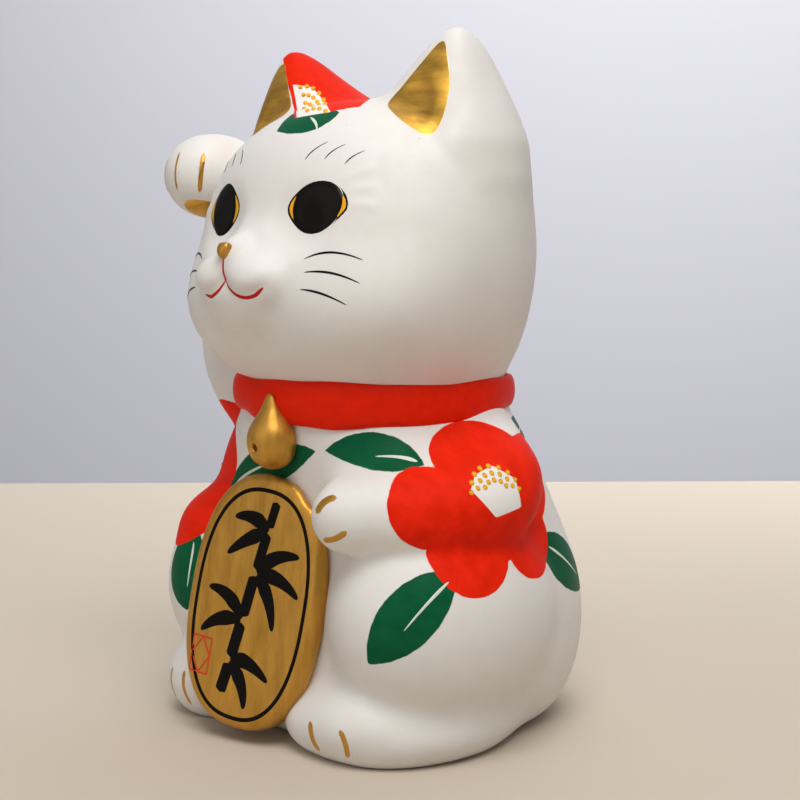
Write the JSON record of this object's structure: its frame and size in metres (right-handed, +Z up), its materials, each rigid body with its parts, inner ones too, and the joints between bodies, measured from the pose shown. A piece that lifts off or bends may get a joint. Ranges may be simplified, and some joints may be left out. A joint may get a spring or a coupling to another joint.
{
  "type": "beckoning cat figurine",
  "caption": "Seated ceramic beckoning cat with one foreleg raised, the other holding an oval gold coin, a collar with a bell, and a soft stopper in its base.",
  "frame": {"origin": "centre of the base, on the resting plane and on the pour hole's axis", "axes": "+Z up; the cat faces -Y; +X is the cat's own left, the side of the lowered foreleg"},
  "size_m": [0.1336, 0.122, 0.1988],
  "materials": {
    "white_ceramic": "matt white paint over unglazed earthenware, painted flowers and leaves",
    "red_painted_ceramic": "matt red paint",
    "gold_painted_ceramic": "brushed-on gold paint",
    "stopper_rubber": "soft matt"
  },
  "bodies": {
    "figure": {"body_shell": "white_ceramic", "head_shell": "white_ceramic", "left_ear": "white_ceramic", "right_ear": "white_ceramic", "raised_foreleg": "white_ceramic", "lowered_foreleg": "white_ceramic", "left_hind_foot": "white_ceramic", "right_hind_foot": "white_ceramic", "tail": "white_ceramic", "collar": "red_painted_ceramic", "bell": "gold_painted_ceramic", "koban": "gold_painted_ceramic"},
    "stopper": {"base_stopper": "stopper_rubber"}
  },
  "joints": [
    {"name": "stopper_pull", "type": "slide", "parent": "figure", "child": "stopper", "axis": [0, 0, -1], "range_m": [0, 0.025]}
  ]
}
